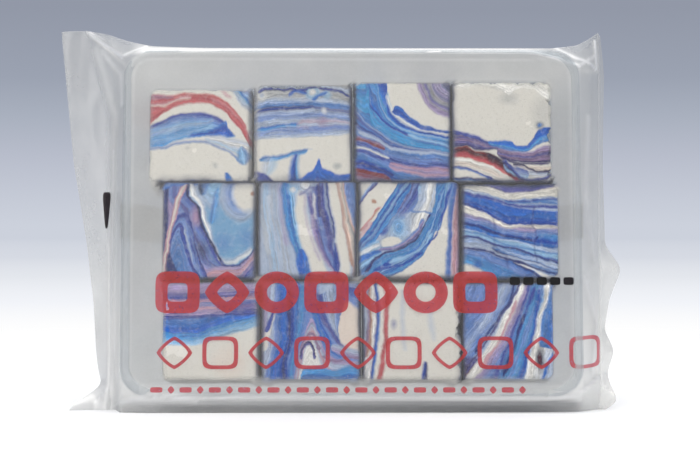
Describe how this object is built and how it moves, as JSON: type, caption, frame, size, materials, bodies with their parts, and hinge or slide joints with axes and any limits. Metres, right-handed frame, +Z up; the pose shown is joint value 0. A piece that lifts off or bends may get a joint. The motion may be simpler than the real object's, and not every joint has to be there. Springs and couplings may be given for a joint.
{
  "type": "sealed pack of marshmallow squares",
  "caption": "Clear sealed pouch standing on its long edge, with marbled marshmallow squares in a shallow tray behind the film, side fin seals and folded corner ears.",
  "frame": {"origin": "on the ground plane, under the middle of the whole pack", "axes": "+Z up as the pack stands, +X along its length, the see-through face looking along -Y and leaning back"},
  "size_m": [0.185, 0.0448, 0.1241],
  "materials": {
    "film": "clear polypropylene film with a milky haze and creases at the seals",
    "tray": "thin clear thermoformed tray, slightly milky",
    "sweet": "cut marshmallow, cream marbled with blue, violet and red, dry and softly powdered",
    "print": "translucent coral ink on the film",
    "mark": "black ink on the film"
  },
  "bodies": {
    "root": {"bag": "film"}
  },
  "joints": []
}
